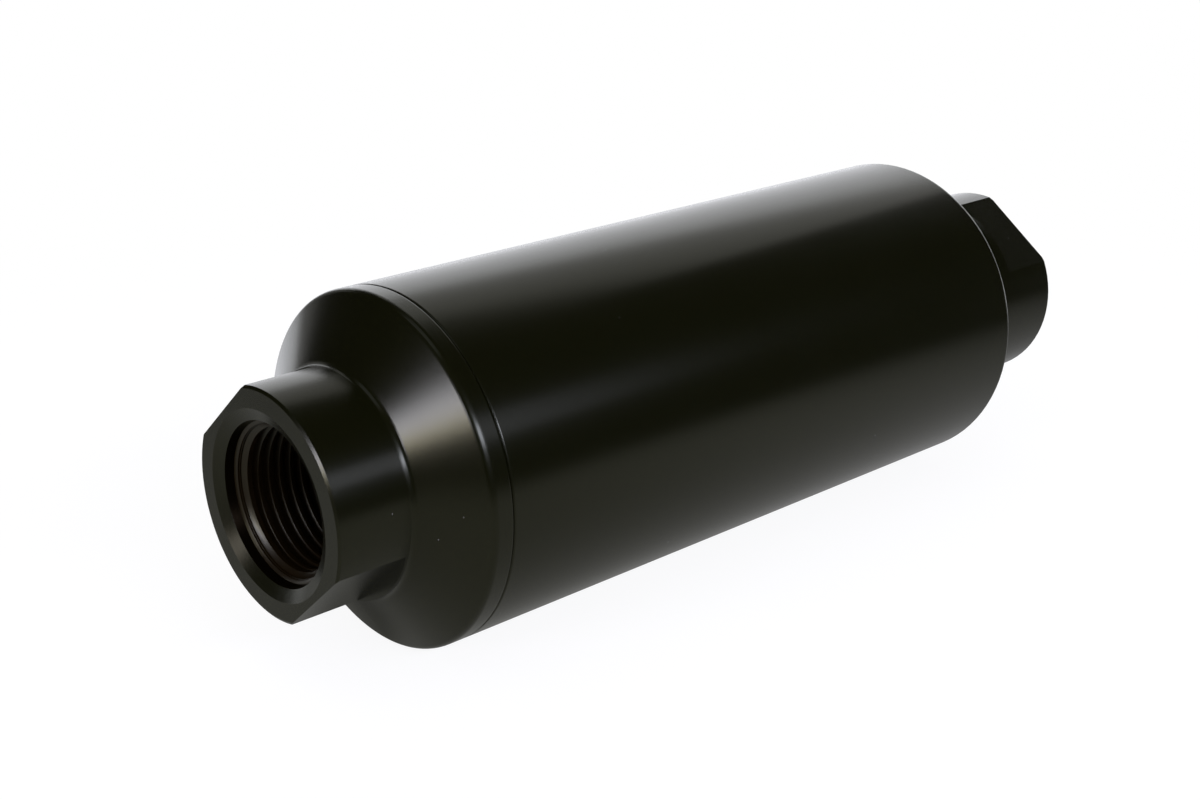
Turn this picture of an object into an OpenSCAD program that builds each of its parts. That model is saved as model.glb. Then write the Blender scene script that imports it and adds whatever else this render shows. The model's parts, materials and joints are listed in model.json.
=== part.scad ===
// Inline fluid filter: a turned housing and screw-in end cap around a pleated element.
// The filter's axis is X. The inlet cap is at -X, the outlet at +X, and the origin is
// at the middle of the barrel.

/* [Barrel] */
// Outside diameter of the barrel and of the cap's rim
barrel_d = 63.5; // [60:0.5:72]
// Length of the barrel, from the cap's seam to the outlet rim
barrel_length = 134; // [110:0.2:220]
// Thickness of the wall beside the filter chamber
chamber_wall = 4.3; // [3.4:0.1:5]
// Distance from the outlet rim back to the chamber's floor
floor_setback = 1.5; // [0:0.1:6]
// Radius of the edge on each side of the cap's seam
seam_radius = 0.4; // [0.1:0.05:0.8]

/* [End cones] */
// Slope of the cones, measured from the filter's axis
cone_angle = 58; // [45:1:65]
// Radius of the edge between each cone and the straight part beside it
rim_radius = 1.5; // [0.5:0.1:2.5]
// Radius of the hollow between each cone and its boss
boss_fillet = 1.5; // [0.5:0.1:3]
// Length of the cap's short straight rim
cap_rim = 3.9; // [2.5:0.1:8]

/* [Port bosses] */
// Diameter of the round bosses
boss_d = 40.6; // [38:0.2:44]
// Width of the bevel round each boss's end face
boss_bevel = 0.5; // [0.2:0.1:1]
// Slope of that bevel, measured from the filter's axis
boss_bevel_angle = 55; // [30:5:60]
// Width across the wrench flats
across_flats = 35.6; // [34.4:0.2:37.4]
// Length of the wrench flats
flat_length = 13.4; // [8:0.1:16]
// Turn of the inlet's flats about the filter's axis, from +Y towards +Z
inlet_flat_turn = 50.7; // [0:0.1:180]
// Turn of the outlet's flats about the filter's axis, from +Y towards +Z
outlet_flat_turn = 129.3; // [0:0.1:180]
// Distance from the seam to the inlet face
cap_reach = 25.8; // [25.2:0.1:40]
// Distance from the outlet rim to the outlet face
outlet_reach = 31.4; // [26:0.1:50]

/* [Ports] */
// Diameter of the plain port wall, which is the root of its thread
port_thread_d = 26.98; // [26:0.02:27.4]
// Length of the threaded wall
port_thread_length = 17; // [12:0.5:17]
// Diameter of the drilled hole past the thread
port_drill_d = 24.7; // [20:0.1:25]
// Length of the drilled hole past the thread
port_drill_length = 1.8; // [1:0.1:3]
// Diameter of the mouth of the seal seat
seat_d = 28.6; // [28.2:0.1:30]
// Depth of the seal seat's cone
seat_depth = 2; // [1.5:0.1:4]
// Width of the flat step between the seat and the thread
seat_step = 0.4; // [0.2:0.05:0.4]
// Diameter of the shallow dish in the boss's face
dish_d = 33; // [31:0.2:34]
// Depth of the dish
dish_depth = 1; // [0.3:0.1:1.5]
// Diameter of the flow passage
passage_d = 16; // [10:0.5:18]

/* [Cap spigot] */
// Length of the spigot inside the housing
spigot_length = 18; // [16:0.5:24]
// Length of the smooth pilot behind the cap's flange
pilot_length = 7; // [6.2:0.1:9]
// Thickness left outside the pilot's bore in the housing
pilot_wall = 2.55; // [2:0.05:3.2]
// Radial running clearance of the pilot in the housing
pilot_clearance = 0.05; // [0.02:0.01:0.1]
// Pitch of the cap's thread
cap_pitch = 2; // [1:0.25:3]
// Radial room between the two threads' crests and roots
thread_clearance = 0.2; // [0.1:0.05:0.3]
// Distance the cap's thread stops short of the pilot bore's end
pilot_relief = 0.5; // [0.2:0.1:1.5]
// Length of the thread in the housing past the spigot's end
thread_run_out = 2; // [1:0.5:4]
// Thickness of the spigot's wall under its thread
spigot_wall = 3.5; // [2.6:0.1:4]
// Depth of the cap's web, from the seam plane into the housing
cap_web_depth = 1.5; // [0.5:0.1:4]
// Bevel in the mouth of the pilot bore and on the spigot's tip
lead_bevel = 0.4; // [0.2:0.1:0.8]

/* [Seals] */
// Depth of the cap seal's groove
cap_groove_depth = 2.2; // [1.6:0.1:2.6]
// Width of the cap seal's groove
cap_groove_width = 3.4; // [2.8:0.1:3.8]
// Distance from the seam to the cap seal's groove
cap_groove_offset = 1.9; // [1.2:0.1:2.2]
// Depth of the groove in the element's collar
collar_groove_depth = 2.2; // [1.6:0.1:2.6]
// Width of the groove in the element's collar
collar_groove_width = 3.2; // [2.8:0.1:3.6]
// Clearance round each drawn seal, which is shown already squeezed
seal_clearance = 0.04; // [0.02:0.01:0.08]

/* [Outlet hub] */
// Thickness of the hub's wall round the passage
hub_wall = 2.5; // [1.5:0.1:3]
// Length of the hub above the chamber's floor
hub_length = 9; // [8:0.1:12]

/* [Element] */
// Gap for the flow between the element and the chamber's wall
flow_gap = 3.25; // [2.5:0.05:4]
// Gap between the cap's spigot and the element
element_gap = 4; // [2:0.5:10]
// Thickness of the end discs
disc_t = 1.2; // [0.8:0.1:1.6]
// Depth of the end discs' cups
cup_depth = 5; // [4:0.1:8]
// Thickness of the adhesive in each cup
potting_t = 2; // [1:0.1:2.8]
// Length of the collar on the open disc
collar_length = 8; // [6.5:0.1:8.5]
// Radial clearance between the collar and the hub
collar_clearance = 0.1; // [0.05:0.05:0.2]
// Thickness of the collar's wall outside its groove
collar_wall = 2.1; // [1.5:0.1:3]
// Number of pleats
pleats = 40; // [24:1:44]
// Thickness of the medium
media_t = 0.5; // [0.3:0.05:0.6]
// Radius of the pleats' folds, at the middle of the medium
fold_r = 0.5; // [0.45:0.05:0.55]
// Gap between the pleats and the centre tube, and between the pleats and the cups
pleat_clearance = 0.2; // [0.1:0.05:0.5]
// Thickness of the seam clip's metal
clip_t = 0.4; // [0.3:0.05:0.5]
// Depth of the seam clip over its pleat
clip_depth = 4; // [3:0.1:6]
// Clearance between the seam clip and its pleat
clip_clearance = 0.05; // [0.02:0.01:0.1]

/* [Centre tube] */
// Outside diameter of the centre tube
tube_d = 26.4; // [25:0.1:29]
// Thickness of the centre tube
tube_wall = 0.8; // [0.5:0.1:1.2]
// Diameter of the tube's round holes
tube_hole_d = 5; // [3:0.1:6]
// Number of holes in a row round the tube
tube_holes_round = 8; // [4:1:9]
// Distance between rows of holes
tube_row_pitch = 10; // [8:0.5:20]
// Plain length at each end of the tube
tube_plain_end = 8; // [5:0.5:20]

/* [Spring] */
// Diameter of the spring's wire
spring_wire_d = 1.8; // [1.2:0.1:2.2]
// Diameter of the spring, at the middle of its wire
spring_d = 31; // [29:0.5:34]
// Number of working turns
spring_turns = 4; // [3:0.5:4.5]
// Gap between the spring and the disc's boss inside it
spring_boss_gap = 0.6; // [0.3:0.1:1]
// Height of the disc's boss inside the spring
spring_boss_height = 4; // [2:0.5:6]

/* [Hidden] */
thread_share = 0.61; // depth of a thread as a share of its pitch
cut = 0.01;          // how far a cut runs past the face that it opens
turning_fn = 96;     // sides of the turned shapes
arc_steps = 6;       // straight steps in a turned fillet
edge_steps = 4;      // straight steps in a rounded edge
fold_steps = 3;      // straight steps in half a fold
wire_sides = 8;      // sides of the spring's wire
turn_steps = 24;     // steps in one turn of the spring
closed_turns = 0.75; // turns at each end of the spring that lie almost flat

barrel_r = barrel_d / 2;
boss_r = boss_d / 2;
seam_x = -barrel_length / 2;
rim_x = barrel_length / 2;
inlet_x = seam_x - cap_reach;
outlet_x = rim_x + outlet_reach;
cone_length = (barrel_r - boss_r) / tan(cone_angle);

// Chamber and cap thread. The chamber's wall is the crest of the housing's thread.
thread_depth = thread_share * cap_pitch;
chamber_r = barrel_r - chamber_wall;
housing_root_r = chamber_r + thread_depth;
spigot_r = chamber_r - thread_clearance;
pilot_bore_r = barrel_r - pilot_wall;
pilot_r = pilot_bore_r - pilot_clearance;
spigot_bore_r = spigot_r - spigot_wall;
floor_x = rim_x - floor_setback;
web_x = seam_x + cap_web_depth;
spigot_x = seam_x + spigot_length;

// Seals
cap_groove_r = pilot_bore_r - cap_groove_depth;
cap_groove_x = seam_x + cap_groove_offset;
passage_r = passage_d / 2;
hub_r = passage_r + hub_wall;
collar_groove_r = hub_r + collar_groove_depth;
collar_r = collar_groove_r + collar_wall;
collar_groove_x = floor_x - (collar_length + collar_groove_width) / 2;

// Element, from the cap's end to the chamber's floor
element_r = chamber_r - flow_gap;
cup_bore_r = element_r - disc_t;
inlet_disc_x = spigot_x + element_gap;
inlet_pot_x = inlet_disc_x + disc_t;
media_x = inlet_pot_x + potting_t;
outlet_disc_x = floor_x - collar_length;
outlet_pot_x = outlet_disc_x - disc_t;
media_end_x = outlet_pot_x - potting_t;
tube_r = tube_d / 2;
tube_bore_r = tube_r - tube_wall;
fold_reach = fold_r + media_t / 2;
fold_out_r = cup_bore_r - pleat_clearance - clip_t - clip_clearance - fold_reach;
fold_in_r = tube_r + pleat_clearance + fold_reach;

// From the middle of an outer fold to the middle of the next inner fold, and the angle at which
// an outer fold's arc runs into the flank
fold_dx = fold_in_r * cos(180 / pleats) - fold_out_r;
fold_dy = fold_in_r * sin(180 / pleats);
fold_wrap = atan2(fold_dy, fold_dx) - acos(2 * fold_r / norm([fold_dx, fold_dy]));
spring_boss_r = (spring_d - spring_wire_d) / 2 - spring_boss_gap;

// Points of an arc in a profile, from angle a to angle b
function arc(x, y, r, a, b, n) = [for (i = [0:n]) [x + r * cos(a + (b - a) * i / n),
                                                    y + r * sin(a + (b - a) * i / n)]];

// Turns a profile of [radius, station along X] points about the filter's axis
module turned(points) {
    rotate([0, 90, 0]) rotate_extrude($fn = turning_fn) polygon(points);
}

// A round bar along X from station a to station b
module bar(r, a, b) {
    translate([a, 0, 0]) rotate([0, 90, 0]) cylinder(r = r, h = b - a, $fn = turning_fn);
}

// Outer profile of an end, drawn as distances from the cone's rim towards the port face. The
// rounded rim and the hollow between cone and boss are arcs that touch the lines beside them.
function end_profile(reach) =
    let (rim_back = rim_radius * tan(cone_angle / 2),
         hollow_x = cone_length + boss_fillet * tan(cone_angle / 2))
    concat(arc(barrel_r - rim_radius, -rim_back, rim_radius, 0, cone_angle, arc_steps),
           arc(boss_r + boss_fillet, hollow_x, boss_fillet, 180 + cone_angle, 180, arc_steps),
           [[boss_r, reach - boss_bevel / tan(boss_bevel_angle)],
            [boss_r - boss_bevel, reach], [0, reach]]);

// Rounded edge of a barrel end at the seam, for the side that lies in the given direction
function seam_edge(direction) =
    arc(barrel_r - seam_radius, seam_x + direction * seam_radius, seam_radius,
        -90 * direction, 0, edge_steps);

// Two wrench flats milled into a boss, from its face to a square shoulder
module wrench_flats(face_x, direction, turn) {
    width = 2 * barrel_r;
    start = direction > 0 ? face_x - flat_length : face_x - cut;
    for (side = [0, 180])
        rotate([turn + side, 0, 0])
            translate([start, across_flats / 2, -width / 2])
                cube([flat_length + cut, barrel_r, width]);
}

// The port in a boss: dish, seal seat, threaded wall, drilled hole and flow passage.
// It is drawn from the face at station 0 inwards.
module port(depth) {
    seat_x = dish_depth + seat_depth;
    thread_end = seat_x + port_thread_length;
    drill_end = thread_end + port_drill_length;
    turned([[0, -cut], [dish_d / 2, -cut], [dish_d / 2, 0], [seat_d / 2, dish_depth],
            [port_thread_d / 2 + seat_step, seat_x], [port_thread_d / 2, seat_x],
            [port_thread_d / 2, thread_end],
            [port_drill_d / 2, thread_end], [port_drill_d / 2, drill_end],
            [passage_r, drill_end], [passage_r, depth], [0, depth]]);
}

module housing() {
    color("#26241f") difference() {
        turned(concat([[0, seam_x]], seam_edge(1),
                      [for (p = end_profile(outlet_reach)) [p[0], rim_x + p[1]]]));
        // Chamber, thread and pilot bore, with the hub left standing on the floor
        difference() {
            turned([[0, seam_x - cut], [pilot_bore_r + lead_bevel, seam_x - cut],
                    [pilot_bore_r, seam_x + lead_bevel],
                    [pilot_bore_r, seam_x + pilot_length + pilot_relief],
                    [housing_root_r, seam_x + pilot_length + pilot_relief],
                    [housing_root_r, spigot_x + thread_run_out],
                    [chamber_r, spigot_x + thread_run_out],
                    [chamber_r, floor_x], [0, floor_x]]);
            bar(hub_r, floor_x - hub_length, floor_x + cut);
        }
        translate([outlet_x, 0, 0]) mirror([1, 0, 0]) port(outlet_x - floor_x + hub_length + cut);
        wrench_flats(outlet_x, 1, outlet_flat_turn);
    }
}

module end_cap() {
    color("#26241f") difference() {
        union() {
            turned(concat([[0, seam_x]], seam_edge(-1),
                          [for (p = end_profile(cap_reach - cap_rim))
                              [p[0], seam_x - cap_rim - p[1]]]));
            // Spigot: pilot, seal groove and thread core
            turned([[0, seam_x - cut], [pilot_r, seam_x - cut], [pilot_r, cap_groove_x],
                    [cap_groove_r, cap_groove_x],
                    [cap_groove_r, cap_groove_x + cap_groove_width],
                    [pilot_r, cap_groove_x + cap_groove_width], [pilot_r, seam_x + pilot_length],
                    [spigot_r, seam_x + pilot_length], [spigot_r, spigot_x - lead_bevel],
                    [spigot_r - lead_bevel, spigot_x], [0, spigot_x]]);
        }
        bar(spigot_bore_r, web_x, spigot_x + cut);
        translate([inlet_x, 0, 0]) port(web_x - inlet_x + cut);
        wrench_flats(inlet_x, -1, inlet_flat_turn);
    }
}

// A seal drawn squeezed in its groove, between two radii and centred at station x
module seal_ring(inner_r, outer_r, x) {
    section_r = (outer_r - inner_r) / 2 - seal_clearance;
    translate([x, 0, 0]) rotate([0, 90, 0]) rotate_extrude($fn = turning_fn)
        translate([(outer_r + inner_r) / 2, 0]) circle(r = section_r, $fn = 24);
}

module cap_o_ring() {
    color("#141414") seal_ring(cap_groove_r, pilot_bore_r, cap_groove_x + cap_groove_width / 2);
}

module element_o_ring() {
    color("#141414") seal_ring(hub_r, collar_groove_r, collar_groove_x + collar_groove_width / 2);
}

// Closed end disc: a pressed cup whose middle is raised to centre the spring
module inlet_end_disc() {
    back = inlet_disc_x;
    nose = back - spring_boss_height;
    color("#a8a9a6") turned([
        [0, nose], [spring_boss_r - disc_t, nose], [spring_boss_r, nose + disc_t],
        [spring_boss_r, back], [element_r - disc_t / 2, back], [element_r, back + disc_t / 2],
        [element_r, back + cup_depth], [cup_bore_r, back + cup_depth],
        [cup_bore_r, back + disc_t], [spring_boss_r - disc_t, back + disc_t],
        [spring_boss_r - disc_t, nose + disc_t], [0, nose + disc_t]]);
}

// Open end disc: a cup with a collar that seals on the housing's hub
module outlet_end_disc() {
    front = outlet_disc_x;
    bore_r = hub_r + collar_clearance;
    groove_end = collar_groove_x + collar_groove_width;
    color("#a8a9a6") turned([
        [bore_r, front - disc_t], [cup_bore_r, front - disc_t], [cup_bore_r, front - cup_depth],
        [element_r, front - cup_depth], [element_r, front - disc_t / 2],
        [element_r - disc_t / 2, front], [collar_r, front], [collar_r, floor_x],
        [bore_r, floor_x], [bore_r, groove_end], [collar_groove_r, groove_end],
        [collar_groove_r, collar_groove_x], [bore_r, collar_groove_x]]);
}

// The adhesive layer in an end disc's cup, from station a to station b
module potting(a, b) {
    color("#b9a274") turned([[tube_bore_r, a], [cup_bore_r, a], [cup_bore_r, b],
                             [tube_bore_r, b]]);
}

module inlet_potting() {
    potting(inlet_pot_x, media_x);
}

module outlet_potting() {
    potting(media_end_x, outlet_pot_x);
}

// One side of the folded medium as a closed star. Each outer fold is an arc of radius a and each
// inner fold an arc of radius b, joined by the straight lines that touch both.
function pleat_line(a, b) =
    let (half = 180 / pleats)
    [for (k = [0:pleats - 1])
        let (turn = 2 * half * k)
        for (p = concat(
            arc(fold_out_r * cos(turn), fold_out_r * sin(turn), a,
                turn - fold_wrap, turn + fold_wrap, 2 * fold_steps),
            arc(fold_in_r * cos(turn + half), fold_in_r * sin(turn + half), b,
                turn + fold_wrap + 180, turn + 2 * half + 180 - fold_wrap, 2 * fold_steps))) p];

module pleated_media() {
    color("#d9cfae") translate([media_x, 0, 0]) rotate([0, 90, 0])
        linear_extrude(height = media_end_x - media_x) difference() {
            polygon(pleat_line(fold_r + media_t / 2, fold_r - media_t / 2));
            polygon(pleat_line(fold_r - media_t / 2, fold_r + media_t / 2));
        }
}

// Folded metal strip over one pleat's outer fold, where the sheet's two ends meet. Its legs lie
// along the pleat's flanks.
module media_seam_clip() {
    inner = fold_reach + clip_clearance;
    outer = inner + clip_t;
    leg = clip_depth * [-sin(fold_wrap), cos(fold_wrap)];
    top = [fold_out_r, 0] + outer * [cos(fold_wrap), sin(fold_wrap)] + leg;
    foot = [fold_out_r, 0] + inner * [cos(fold_wrap), sin(fold_wrap)] + leg;
    color("#8f918f") translate([media_x, 0, 0]) rotate([0, 90, 0])
        linear_extrude(height = media_end_x - media_x)
            polygon(concat([[top[0], -top[1]]],
                           arc(fold_out_r, 0, outer, -fold_wrap, fold_wrap, 2 * fold_steps),
                           [top, foot],
                           arc(fold_out_r, 0, inner, fold_wrap, -fold_wrap, 2 * fold_steps),
                           [[foot[0], -foot[1]]]));
}

// Perforated centre tube. Each row's holes are turned by half a step from the last row's.
module element_core() {
    length = media_end_x - media_x;
    rows = floor((length - 2 * tube_plain_end) / tube_row_pitch) + 1;
    first = (length - (rows - 1) * tube_row_pitch) / 2;
    step = 360 / tube_holes_round;
    color("#9c9d9b") difference() {
        bar(tube_r, media_x, media_end_x);
        bar(tube_bore_r, media_x - cut, media_end_x + cut);
        for (row = [0:rows - 1])
            for (hole = [0:tube_holes_round - 1])
                translate([media_x + first + row * tube_row_pitch, 0, 0])
                    rotate([(hole + (row % 2) / 2) * step, 0, 0])
                        translate([0, 0, tube_bore_r - 1])
                            cylinder(d = tube_hole_d, h = tube_wall + 2, $fn = 24);
    }
}

// Height of the spring's wire above its first seat, after a share of all its turns
function spring_rise(turn, total, height) =
    let (end_rise = spring_wire_d / 2)
    turn < closed_turns ? end_rise * turn / closed_turns
    : turn > total - closed_turns ? height - end_rise * (total - turn) / closed_turns
    : end_rise + (height - 2 * end_rise) * (turn - closed_turns) / spring_turns;

module element_spring() {
    total = spring_turns + 2 * closed_turns;
    height = inlet_disc_x - web_x - spring_wire_d;
    rings = round(total * turn_steps);
    wire_r = spring_wire_d / 2;
    points = [for (i = [0:rings], j = [0:wire_sides - 1])
        let (turn = i / turn_steps,
             a = 360 * turn,
             b = 360 * j / wire_sides,
             r = spring_d / 2 + wire_r * cos(b))
        [web_x + wire_r + spring_rise(turn, total, height) + wire_r * sin(b), r * cos(a), r * sin(a)]];
    sides = [for (i = [0:rings - 1], j = [0:wire_sides - 1])
        let (k = (j + 1) % wire_sides)
        [i * wire_sides + j, i * wire_sides + k, (i + 1) * wire_sides + k, (i + 1) * wire_sides + j]];
    first = [for (j = [0:wire_sides - 1]) wire_sides - 1 - j];
    last = [for (j = [0:wire_sides - 1]) rings * wire_sides + j];
    color("#b4b5b2") polyhedron(points, concat([first, last], sides));
}

housing();
end_cap();
cap_o_ring();
element_spring();
inlet_end_disc();
inlet_potting();
pleated_media();
media_seam_clip();
element_core();
outlet_potting();
outlet_end_disc();
element_o_ring();
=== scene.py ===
import json
import math

import bmesh
import bpy
from mathutils import Matrix, Vector


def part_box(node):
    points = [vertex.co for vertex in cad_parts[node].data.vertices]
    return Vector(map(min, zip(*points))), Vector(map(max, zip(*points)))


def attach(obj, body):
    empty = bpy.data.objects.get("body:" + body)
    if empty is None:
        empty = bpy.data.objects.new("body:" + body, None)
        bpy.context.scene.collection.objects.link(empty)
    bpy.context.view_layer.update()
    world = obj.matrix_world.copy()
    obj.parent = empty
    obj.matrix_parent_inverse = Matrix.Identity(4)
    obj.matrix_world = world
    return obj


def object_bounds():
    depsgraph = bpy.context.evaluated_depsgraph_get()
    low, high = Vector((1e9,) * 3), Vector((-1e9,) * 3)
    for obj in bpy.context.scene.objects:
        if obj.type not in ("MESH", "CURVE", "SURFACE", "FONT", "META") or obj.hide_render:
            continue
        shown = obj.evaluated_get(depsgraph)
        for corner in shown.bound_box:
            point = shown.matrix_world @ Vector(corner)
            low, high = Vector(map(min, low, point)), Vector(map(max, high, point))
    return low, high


# Inline filter: satin black anodised shells, cut threads and the pleated element inside.
# Everything is in metres, with the filter's axis along X and the inlet at -X.

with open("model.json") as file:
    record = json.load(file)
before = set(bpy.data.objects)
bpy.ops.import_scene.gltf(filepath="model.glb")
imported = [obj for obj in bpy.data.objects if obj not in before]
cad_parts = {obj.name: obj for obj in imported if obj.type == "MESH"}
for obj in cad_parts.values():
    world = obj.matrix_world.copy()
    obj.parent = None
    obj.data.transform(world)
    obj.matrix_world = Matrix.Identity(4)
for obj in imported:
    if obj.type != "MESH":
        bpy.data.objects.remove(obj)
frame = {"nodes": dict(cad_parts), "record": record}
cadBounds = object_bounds()
nodes = frame["nodes"]
mounts = {mount["name"]: mount for mount in frame["record"]["mounts"]}
scene = bpy.context.scene
mm = 0.001
print("frame loaded:", len(nodes), "nodes")


# Shader tools

class Wire:
    # One output socket. Sums, products and comparisons of wires add Math nodes.
    def __init__(self, shader, socket):
        self.shader = shader
        self.socket = socket

    def math(self, operation, first, second):
        return self.shader.node("Math", {"operation": operation}, {0: first, 1: second})

    def __add__(self, other):
        return self.math("ADD", self, other)

    def __radd__(self, other):
        return self.math("ADD", other, self)

    def __sub__(self, other):
        return self.math("SUBTRACT", self, other)

    def __rsub__(self, other):
        return self.math("SUBTRACT", other, self)

    def __mul__(self, other):
        return self.math("MULTIPLY", self, other)

    def __rmul__(self, other):
        return self.math("MULTIPLY", other, self)

    def __lt__(self, other):
        return self.math("LESS_THAN", self, other)

    def __gt__(self, other):
        return self.math("GREATER_THAN", self, other)


class Shader:
    # The node tree of one material or of the world
    def __init__(self, owner):
        owner.use_nodes = True
        self.owner = owner
        self.tree = owner.node_tree
        self.tree.nodes.clear()

    def node(self, kind, settings=None, inputs=None, output=0):
        made = self.tree.nodes.new("ShaderNode" + kind)
        for key, value in (settings or {}).items():
            setattr(made, key, value)
        for key, value in (inputs or {}).items():
            if isinstance(value, Wire):
                self.tree.links.new(value.socket, made.inputs[key])
            else:
                made.inputs[key].default_value = value
        return Wire(self, made.outputs[output])

    def blendColours(self, share, first, second):
        # Mix node in colour mode: its sockets 6 and 7 are the colours, its output 2 the result
        values = {0: share}
        for key, value in ((6, first), (7, second)):
            values[key] = value if isinstance(value, Wire) else (*value, 1.0)
        return self.node("Mix", {"data_type": "RGBA"}, values, output=2)

    def close(self, kind, surface):
        made = self.tree.nodes.new("ShaderNode" + kind)
        self.tree.links.new(surface.socket, made.inputs["Surface"])


def newShader(name):
    return Shader(bpy.data.materials.new(name))


# Finishes

wavePeriod = 0.314  # metres from band to band of a wave texture at scale 1

anodisedLook = {
    "colour": (0.0048, 0.0050, 0.0007),
    "reflectionTint": (1.0, 1.0, 0.78, 1.0),
    "refraction": 1.5,
    "roughness": 0.22,
    "roughnessRange": 0.06,
    "cloudScale": 45.0,
    "grainScale": 2600.0,
    "grainDepth": 0.0000016,
    "turningPitch": 0.00011,
    "turningDepth": 0.0000006,
    "turningWander": 1.5,
    "wanderScale": 40.0,
    "portRadius": 14.28 * mm,  # the ports' seats and threads lie within it
    # a brown tone inside the ports, painted in for the warm light there
    "paintedPortLightColour": (0.0092, 0.0046, 0.0007),
    "portRoughness": 0.07,
    "seatRadius": 13.96 * mm,  # from here to portRadius is the seat's wall
    # the seat's wall turns metallic in the dark port colour, so its reflections darken:
    # painted shade
    "paintedSeatShade": 0.85,
    "speckCell": 260.0,
    "speckSize": 0.030,
    "speckLotScale": 190.0,
    "speckLotLimit": 0.59,
    "speckColour": (0.15, 0.145, 0.135),
    "speckRoughness": 0.4,
}


def anodised(name, look):
    # Black anodising over turned metal, with fine grain, tool marks and a little dust
    shader = newShader(name)
    place = shader.node("TexCoord", output="Object")
    grain = shader.node("TexNoise", None,
                        {"Vector": place, "Scale": look["grainScale"], "Detail": 2.0})
    cloud = shader.node("TexNoise", None,
                        {"Vector": place, "Scale": look["cloudScale"], "Detail": 3.0})
    marks = shader.node("TexWave", {"wave_type": "BANDS", "bands_direction": "X"}, {
        "Vector": place, "Scale": wavePeriod / look["turningPitch"],
        "Distortion": look["turningWander"], "Detail": 1.0,
        "Detail Scale": look["wanderScale"]}, output="Fac")
    cells = shader.node("TexVoronoi", {"feature": "F1"},
                        {"Vector": place, "Scale": look["speckCell"]}, output="Distance")
    lot = shader.node("TexNoise", None,
                      {"Vector": place, "Scale": look["speckLotScale"], "Detail": 0.0})
    speck = (cells < look["speckSize"]) * (lot > look["speckLotLimit"])
    across = shader.node("VectorMath", {"operation": "MULTIPLY"}, {0: place, 1: (0, 1, 1)})
    reach = shader.node("VectorMath", {"operation": "LENGTH"}, {0: across}, output="Value")
    inPort = reach < look["portRadius"]
    # the seat's wall, which gets the painted shade below
    seat = (reach > look["seatRadius"]) * inPort
    # black dye outside the ports; inside them a brown tone that is painted warm light
    dyeAndPaintedPortLight = shader.blendColours(inPort, look["colour"], look["paintedPortLightColour"])
    roughness = (look["roughness"] + (cloud - 0.5) * look["roughnessRange"]
                 + speck * look["speckRoughness"] + inPort * look["portRoughness"])
    height = grain * look["grainDepth"] + marks * look["turningDepth"]
    bump = shader.node("Bump", None, {"Height": height, "Strength": 1.0, "Distance": 1.0})
    shader.close("OutputMaterial", shader.node("BsdfPrincipled", None, {
        "Base Color": shader.blendColours(speck, dyeAndPaintedPortLight, look["speckColour"]),
        "Roughness": roughness, "Normal": bump, "IOR": look["refraction"],
        "Metallic": seat * look["paintedSeatShade"], "Specular Tint": look["reflectionTint"]}))
    return shader.owner


rubberLook = {
    "colour": (0.012, 0.012, 0.012, 1.0),
    "roughness": 0.48,
    "roughnessRange": 0.2,
    "grainScale": 900.0,
    "grainDepth": 0.000006,
}


def mouldedRubber(name, look):
    shader = newShader(name)
    place = shader.node("TexCoord", output="Object")
    grain = shader.node("TexNoise", None, {"Vector": place, "Scale": look["grainScale"]})
    bump = shader.node("Bump", None, {"Height": grain * look["grainDepth"], "Distance": 1.0})
    shader.close("OutputMaterial", shader.node("BsdfPrincipled", None, {
        "Base Color": look["colour"], "Normal": bump,
        "Roughness": look["roughness"] + (grain - 0.5) * look["roughnessRange"]}))
    return shader.owner


wireLook = {
    "colour": (0.58, 0.58, 0.56, 1.0),
    "roughness": 0.24,
    "roughnessRange": 0.16,
    "dieScale": 1400.0,
    "dieDepth": 0.000002,
}


def drawnWire(name, look):
    # Bright spring wire with the fine marks of the drawing die
    shader = newShader(name)
    place = shader.node("TexCoord", output="Object")
    marks = shader.node("TexNoise", None,
                        {"Vector": place, "Scale": look["dieScale"], "Detail": 1.0})
    bump = shader.node("Bump", None, {"Height": marks * look["dieDepth"], "Distance": 1.0})
    shader.close("OutputMaterial", shader.node("BsdfPrincipled", None, {
        "Base Color": look["colour"], "Metallic": 1.0, "Normal": bump,
        "Roughness": look["roughness"] + (marks - 0.5) * look["roughnessRange"]}))
    return shader.owner


zincLook = {
    "colour": (0.60, 0.60, 0.57),
    "tint": (0.66, 0.62, 0.46),
    "tintScale": 70.0,
    "roughness": 0.34,
    "spangleScale": 420.0,
    "spangleMiddle": 0.4,
    "spangleRange": 0.12,
}


def platedSheet(name, look):
    # Zinc-plated sheet: a yellowish tint in clouds, and crystals that differ in gloss
    shader = newShader(name)
    place = shader.node("TexCoord", output="Object")
    spangle = shader.node("TexVoronoi", {"feature": "F1"},
                          {"Vector": place, "Scale": look["spangleScale"]}, output="Distance")
    cloud = shader.node("TexNoise", None,
                        {"Vector": place, "Scale": look["tintScale"], "Detail": 3.0})
    gloss = (spangle - look["spangleMiddle"]) * look["spangleRange"]
    shader.close("OutputMaterial", shader.node("BsdfPrincipled", None, {
        "Base Color": shader.blendColours(cloud, look["colour"], look["tint"]),
        "Metallic": 1.0, "Roughness": look["roughness"] + gloss}))
    return shader.owner


adhesiveLook = {
    "colour": (0.55, 0.36, 0.13),
    "pale": (0.68, 0.50, 0.25),
    "roughness": 0.28,
    "rippleScale": 160.0,
    "rippleDepth": 0.00004,
}


def curedAdhesive(name, look):
    shader = newShader(name)
    place = shader.node("TexCoord", output="Object")
    ripple = shader.node("TexNoise", None,
                         {"Vector": place, "Scale": look["rippleScale"], "Detail": 2.0})
    bump = shader.node("Bump", None, {"Height": ripple * look["rippleDepth"], "Distance": 1.0})
    shader.close("OutputMaterial", shader.node("BsdfPrincipled", None, {
        "Base Color": shader.blendColours(ripple, look["colour"], look["pale"]),
        "Roughness": look["roughness"], "Normal": bump}))
    return shader.owner


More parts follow.
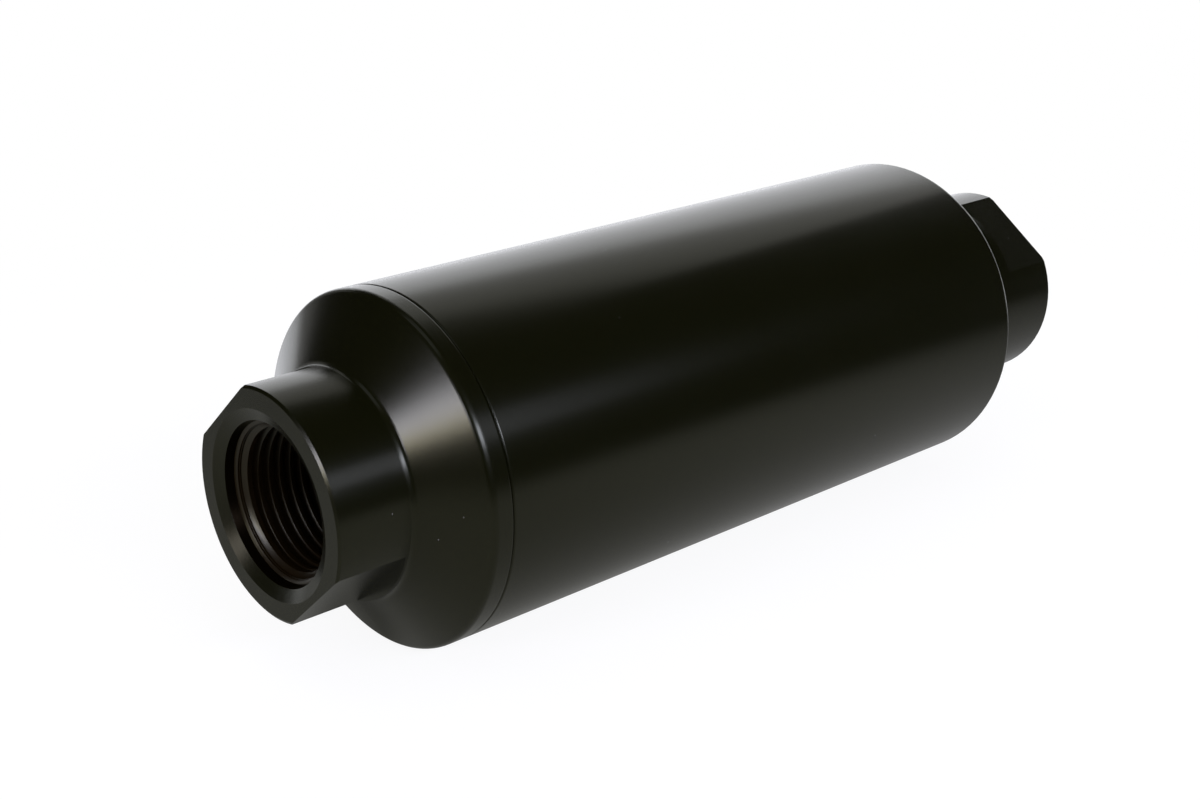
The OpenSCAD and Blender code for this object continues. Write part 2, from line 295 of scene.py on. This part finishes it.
mediumLook = {
    "colour": (0.70, 0.60, 0.38),
    "shade": (0.58, 0.47, 0.27),
    "roughness": 0.82,
    "fibreScale": 1500.0,
    "fibreTwist": 1.5,
    "fibreDepth": 0.00002,
    "beadPitch": 0.005,
    "beadDepth": 0.00005,
}


def filterMedium(name, look):
    # Resin-bonded paper: short fibres, and pressed beads that hold the pleats apart
    shader = newShader(name)
    place = shader.node("TexCoord", output="Object")
    fibre = shader.node("TexNoise", None, {"Vector": place, "Scale": look["fibreScale"],
                                           "Detail": 4.0, "Distortion": look["fibreTwist"]})
    bead = shader.node("TexWave", {"wave_type": "BANDS", "bands_direction": "X"},
                       {"Vector": place, "Scale": wavePeriod / look["beadPitch"]},
                       output="Fac")
    height = fibre * look["fibreDepth"] + bead * look["beadDepth"]
    bump = shader.node("Bump", None, {"Height": height, "Distance": 1.0})
    shader.close("OutputMaterial", shader.node("BsdfPrincipled", None, {
        "Base Color": shader.blendColours(fibre, look["shade"], look["colour"]),
        "Roughness": look["roughness"], "Normal": bump}))
    return shader.owner


blackTurned = anodised("blackAnodisedTurned", anodisedLook)
sealRubber = mouldedRubber("sealRubber", rubberLook)
springWire = drawnWire("springWire", wireLook)
zincSheet = platedSheet("zincSheet", zincLook)
amberAdhesive = curedAdhesive("amberAdhesive", adhesiveLook)
pleatPaper = filterMedium("pleatPaper", mediumLook)

nodeFinish = {
    "housing": blackTurned, "end_cap": blackTurned,
    "cap_o_ring": sealRubber, "element_o_ring": sealRubber,
    "element_spring": springWire,
    "inlet_end_disc": zincSheet, "outlet_end_disc": zincSheet,
    "media_seam_clip": zincSheet, "element_core": zincSheet,
    "inlet_potting": amberAdhesive, "outlet_potting": amberAdhesive,
    "pleated_media": pleatPaper,
}
for nodeName, finish in nodeFinish.items():
    nodes[nodeName].data.materials.clear()
    nodes[nodeName].data.materials.append(finish)
print("finishes made:", len(set(nodeFinish.values())))


# Cut threads

creaseAngle = 35.0  # degrees; an edge that turns more than this stays sharp
ridgeSink = 0.04 * mm  # how deep a ridge's root lies in the wall
ridgeEnd = 0.02  # share of its height that a ridge has at its very ends


def turnedPiece(name, points, faces, body):
    mesh = bpy.data.meshes.new(name)
    mesh.from_pydata(points, [], faces)
    mesh.update()
    outwards = bmesh.new()
    outwards.from_mesh(mesh)
    bmesh.ops.recalc_face_normals(outwards, faces=outwards.faces)
    outwards.to_mesh(mesh)
    outwards.free()
    piece = bpy.data.objects.new(name, mesh)
    scene.collection.objects.link(piece)
    mesh.materials.append(blackTurned)
    mesh.polygons.foreach_set("use_smooth", [True] * len(mesh.polygons))
    mesh.set_sharp_from_angle(angle=math.radians(creaseAngle))
    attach(piece, body)


def sideFaces(rows, corners, closed):
    # Quads from each row of points to the next; every row is a loop of so many corners
    faces = []
    for row in range(rows if closed else rows - 1):
        low, high = row * corners, (row + 1) % rows * corners
        for corner in range(corners):
            after = (corner + 1) % corners
            faces.append((low + corner, low + after, high + after, high + corner))
    return faces


def threadRidge(name, thread, body):
    # A right-hand helical ridge of four corners, whose root is sunk in the wall.
    # Its height fades in and out at both ends, as a cut thread does.
    turns = (thread["end"] - thread["start"]) / thread["pitch"]
    steps = round(turns * thread["stepsPerTurn"])
    rootHalf = thread["pitch"] * thread["rootShare"] / 2
    crestHalf = thread["pitch"] * thread["crestShare"] / 2
    section = [(-rootHalf, 0.0), (-crestHalf, 1.0), (crestHalf, 1.0), (rootHalf, 0.0)]
    rise = thread["crestRadius"] - thread["rootRadius"]
    sunk = -math.copysign(ridgeSink, rise)
    points = []
    for step in range(steps + 1):
        turn = turns * step / steps
        fade = min(1.0, turn / thread["fadeTurns"] + ridgeEnd,
                   (turns - turn) / thread["fadeTurns"] + ridgeEnd)
        angle = 2 * math.pi * (turn + thread["phase"])
        for along, height in section:
            radius = thread["rootRadius"] + sunk + (rise - sunk) * height * fade
            points.append((thread["start"] + thread["pitch"] * turn + along,
                           radius * math.cos(angle), radius * math.sin(angle)))
    corners = len(section)
    ends = [tuple(range(corners)), tuple(range(steps * corners, (steps + 1) * corners))]
    turnedPiece(name, points, ends + sideFaces(steps + 1, corners, closed=False), body)


def turnedRing(name, section, sides, body):
    # A closed ring turned about the filter's axis from (station, radius) points
    points = []
    for side in range(sides):
        angle = 2 * math.pi * side / sides
        points += [(along, radius * math.cos(angle), radius * math.sin(angle))
                   for along, radius in section]
    turnedPiece(name, points, sideFaces(sides, len(section), closed=True), body)


portThread = {
    "pitch": 25.4 / 12 * mm,
    "depth": 1.10 * mm,
    "crestShare": 0.29,
    "rootShare": 0.86,
    "phase": 0.33,
    "stepsPerTurn": 72,
    "fadeTurns": 0.3,
    "leadLength": 2.2 * mm,
    "leadSides": 144,
    # Section of the ring at the port's mouth, in mm: depth past the mouth, and radius beyond
    # the thread's root. A chamfer, two narrow lands, a second chamfer and the first crest.
    "leadSection": [(-0.38, 0.70), (-0.38, 0.46), (-0.05, -0.12), (0.28, -0.12),
                    (0.31, -0.19), (0.62, -0.20), (0.90, -0.52), (1.12, -0.91),
                    (1.22, -1.08), (2.05, -1.10), (2.35, 0.30)],
}


def cutPort(mountName, body):
    # Thread of a port, from the seal seat inwards, with the plain ring where it starts
    mount = mounts[mountName]
    outward = math.copysign(1.0, mount["axis"][0])
    half = mount["dims"]["length_mm"] * mm / 2
    root = mount["dims"]["r_mm"] * mm
    mouth = mount["pos_m"][0] + outward * half
    tail = mount["pos_m"][0] - outward * half
    start, end = sorted((mouth - outward * portThread["leadLength"],
                         tail + outward * portThread["pitch"] / 2))
    threadRidge(mountName + "_thread", {
        **portThread, "start": start, "end": end, "rootRadius": root,
        "crestRadius": root - portThread["depth"]}, body)
    turnedRing(mountName + "_lead", [(mouth - outward * depth * mm, root + beyond * mm)
                                     for depth, beyond in portThread["leadSection"]],
               portThread["leadSides"], body)


cutPort("inlet_port", "end_cap")
cutPort("outlet_port", "housing")

capThread = {
    "pitch": 2.0 * mm,
    "crestShare": 0.16,
    "rootShare": 0.80,
    "stepsPerTurn": 96,
    "fadeTurns": 0.35,
    "spigot": {"rootRadius": 27.25 * mm, "crestRadius": 28.45 * mm,
               "start": 8.0 * mm, "end": 17.0 * mm},  # stations from the seam
    "mouth": {"rootRadius": 28.67 * mm, "crestRadius": 27.50 * mm,
              "start": 8.6 * mm, "end": 18.8 * mm},
}


def cutCapThread(name, side, phase, body):
    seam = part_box("housing")[0].x
    ridge = capThread[side]
    threadRidge(name, {**capThread, **ridge, "phase": phase, "start": seam + ridge["start"],
                       "end": seam + ridge["end"]}, body)


# The housing's ridge lies half a pitch from the cap's, all along both
apart = (capThread["mouth"]["start"] - capThread["spigot"]["start"]) / capThread["pitch"]
cutCapThread("cap_spigot_thread", "spigot", 0.0, "end_cap")
cutCapThread("housing_mouth_thread", "mouth", apart + 0.5, "housing")
print("threads cut")


# Floor, light and camera

floorLook = {
    "halfSize": 3.0,
    "clearance": 0.2 * mm,
    "colour": (0.86, 0.86, 0.86, 1.0),
    "white": 0.905,
    "shadowColour": (0.19, 0.19, 0.19, 1.0),
    "leftColour": (0.32, 0.32, 0.31),
    "rightColour": (0.41, 0.41, 0.415),
    "leftX": -0.07,
    "rightX": 0.09,
    "dimColour": (0.025, 0.025, 0.025),
    "middle": (-0.04, 0.0, 0.0),
    "nearRadius": 0.10,
    "dimRadius": 0.36,
    # painted light behind the filter, seen only in reflections
    "paintedBackLightColour": (1.25, 1.27, 1.34),
    "back": (0.50, 0.87, 0.0),
    "backStart": 0.034,
    "backEnd": 0.18,
    "shade": (-0.064, 0.012, 0.0),
    "shadeRadius": 0.022,
    "shadeCore": 0.012,
    "shadeColour": (0.12, 0.12, 0.11),
}


def makeFloor(look):
    # Seen directly the floor is white and keeps a faint shadow. In reflections it glows with
    # painted light and shade: lit up behind the filter, grey around it and dim further out,
    # with a painted shadow under the cap.
    half = look["halfSize"]
    level = cadBounds[0][2] - look["clearance"]
    mesh = bpy.data.meshes.new("floor")
    mesh.from_pydata([(-half, -half, level), (half, -half, level), (half, half, level),
                      (-half, half, level)], [], [(0, 1, 2, 3)])
    floor = bpy.data.objects.new("floor", mesh)
    scene.collection.objects.link(floor)
    shader = newShader("paleFloor")
    place = shader.node("VectorMath", {"operation": "MULTIPLY"},
                        {0: shader.node("NewGeometry", output="Position"), 1: (1, 1, 0)})

    def distance(middle):
        return shader.node("VectorMath", {"operation": "DISTANCE"}, {0: place, 1: middle},
                           output="Value")

    def ramp(value, start, end):
        return shader.node("MapRange", {"interpolation_type": "SMOOTHSTEP"},
                           {"Value": value, "From Min": start, "From Max": end})

    behind = shader.node("VectorMath", {"operation": "DOT_PRODUCT"},
                         {0: place, 1: look["back"]}, output="Value")
    along = shader.node("SeparateXYZ", None, {0: place}, output="X")
    dim = ramp(distance(look["middle"]), look["nearRadius"], look["dimRadius"])
    paintedBackLight = ramp(behind, look["backStart"], look["backEnd"])
    # painted shadow under the cap, as the filter mirrors the floor
    shaded = ramp(distance(look["shade"]), look["shadeRadius"], look["shadeCore"])
    right = ramp(along, look["leftX"], look["rightX"])
    near = shader.blendColours(right, look["leftColour"], look["rightColour"])
    near = shader.blendColours(shaded, near, look["shadeColour"])
    ground = shader.blendColours(dim, near, look["dimColour"])
    # in glossy rays the floor glows with this painted light and shade
    mirrored = shader.node("Emission", None, {
        "Color": shader.blendColours(paintedBackLight, ground, look["paintedBackLightColour"]), "Strength": 1.0})
    matt = shader.node("BsdfDiffuse", None, {"Color": look["colour"]})
    glow = shader.node("Emission", None, {"Strength": look["white"]})
    faint = shader.node("BsdfDiffuse", None, {"Color": look["shadowColour"]})
    around = shader.node("AddShader", None, {0: glow, 1: faint})
    white = shader.node("Emission", None, {"Strength": 1.0})
    seen = shader.node("MixShader", None, {0: dim, 1: around, 2: white})
    cameraRay = shader.node("LightPath", output="Is Camera Ray")
    glossyRay = shader.node("LightPath", output="Is Glossy Ray")
    unseen = shader.node("MixShader", None, {0: glossyRay, 1: matt, 2: mirrored})
    shader.close("OutputMaterial", shader.node("MixShader", None,
                                               {0: cameraRay, 1: unseen, 2: seen}))
    mesh.materials.append(shader.owner)


roomLook = {"colour": (1.0, 1.0, 1.0, 1.0), "light": 0.02}


def makeRoom(look):
    # White behind everything as the camera sees it, and almost no light of its own
    world = bpy.data.worlds.new("studio")
    scene.world = world
    shader = Shader(world)
    cameraRay = shader.node("LightPath", output="Is Camera Ray")
    white = shader.node("Background", None, {"Color": look["colour"], "Strength": 1.0})
    faint = shader.node("Background", None,
                        {"Color": look["colour"], "Strength": look["light"]})
    shader.close("OutputWorld", shader.node("MixShader", None,
                                            {0: cameraRay, 1: faint, 2: white}))


def direction(azimuth, elevation):
    # Azimuth is measured from +Y towards +X
    around, up = math.radians(azimuth), math.radians(elevation)
    return Vector((math.sin(around) * math.cos(up), math.cos(around) * math.cos(up),
                   math.sin(up)))


# Each lamp is a rectangle that faces the filter, given by its direction and angular size in
# degrees, its distance and its radiance
lamps = {
    "backPanel": {"azimuth": 50, "elevation": 13, "width": 70, "height": 42,
                  "distance": 1.5, "radiance": 1.39, "colour": (0.99, 1.0, 1.05)},
    "backTop": {"azimuth": 50.5, "elevation": 44, "width": 47, "height": 20,
                "distance": 1.5, "radiance": 0.52},
    "backWing": {"azimuth": 2, "elevation": 12, "width": 26, "height": 36,
                 "distance": 1.5, "radiance": 0.25},
    "ceiling": {"azimuth": -80, "elevation": 72, "width": 30, "height": 30,
                "distance": 1.5, "radiance": 0.28, "colour": (0.97, 1.0, 1.2)},
    "windowTop": {"azimuth": -90, "elevation": 15.25, "width": 26, "height": 6.5,
                  "distance": 1.2, "radiance": 10.2, "colour": (1.0, 0.99, 1.36)},
    "windowSill": {"azimuth": -88.5, "elevation": 10, "width": 21, "height": 4,
                   "distance": 1.2, "radiance": 8.8, "colour": (1.0, 0.91, 0.70)},
    "sideTable": {"azimuth": -72, "elevation": 2.5, "width": 10, "height": 6,
                  "distance": 1.2, "radiance": 3.0, "colour": (1.0, 0.91, 0.93)},
    "frontBox": {"azimuth": 186, "elevation": 26, "width": 48, "height": 11,
                 "distance": 1.2, "radiance": 7.9, "colour": (0.96, 1.0, 1.38)},
    "frontSide": {"azimuth": 150, "elevation": 24.5, "width": 18, "height": 13,
                  "distance": 1.2, "radiance": 0.76, "colour": (0.97, 1.0, 1.35)},
    "roomFill": {"azimuth": -150, "elevation": 60, "width": 70, "height": 70,
                 "distance": 1.6, "radiance": 0.6, "mirrored": False},
}


def makeLamp(name, lamp):
    distance = lamp["distance"]
    light = bpy.data.lights.new(name, "AREA")
    light.shape = "RECTANGLE"
    light.size = 2 * distance * math.tan(math.radians(lamp["width"] / 2))
    light.size_y = 2 * distance * math.tan(math.radians(lamp["height"] / 2))
    light.energy = lamp["radiance"] * math.pi * light.size * light.size_y
    light.color = lamp.get("colour", (1, 1, 1))
    rig = bpy.data.objects.new(name, light)
    scene.collection.objects.link(rig)
    toLamp = direction(lamp["azimuth"], lamp["elevation"])
    rig.location = toLamp * distance
    rig.rotation_euler = toLamp.to_track_quat("Z", "Y").to_euler()
    rig.visible_camera = False
    rig.visible_glossy = lamp.get("mirrored", True)


cameraLook = {
    "azimuth": 222.19,
    "elevation": 18.18,
    "roll": -1.99,
    "distance": 0.3393,
    "aim": (-0.0190, 0.0, 0.0),
    "lens": 53.96,
    "sensorWidth": 36.0,
    "clipStart": 0.01,
}


def makeCamera(look):
    camera = bpy.data.cameras.new("photoCamera")
    camera.lens = look["lens"]
    camera.sensor_width = look["sensorWidth"]
    camera.sensor_fit = "HORIZONTAL"
    camera.clip_start = look["clipStart"]
    rig = bpy.data.objects.new("photoCamera", camera)
    scene.collection.objects.link(rig)
    toCamera = direction(look["azimuth"], look["elevation"])
    turn = toCamera.to_track_quat("Z", "Y").to_matrix().to_4x4()
    roll = Matrix.Rotation(math.radians(look["roll"]), 4, "Z")
    place = Matrix.Translation(Vector(look["aim"]) + toCamera * look["distance"])
    rig.matrix_world = place @ turn @ roll
    scene.camera = rig


makeFloor(floorLook)
makeRoom(roomLook)
for lampName, lamp in lamps.items():
    makeLamp(lampName, lamp)
makeCamera(cameraLook)
scene.view_settings.view_transform = "Standard"
print("stage set")
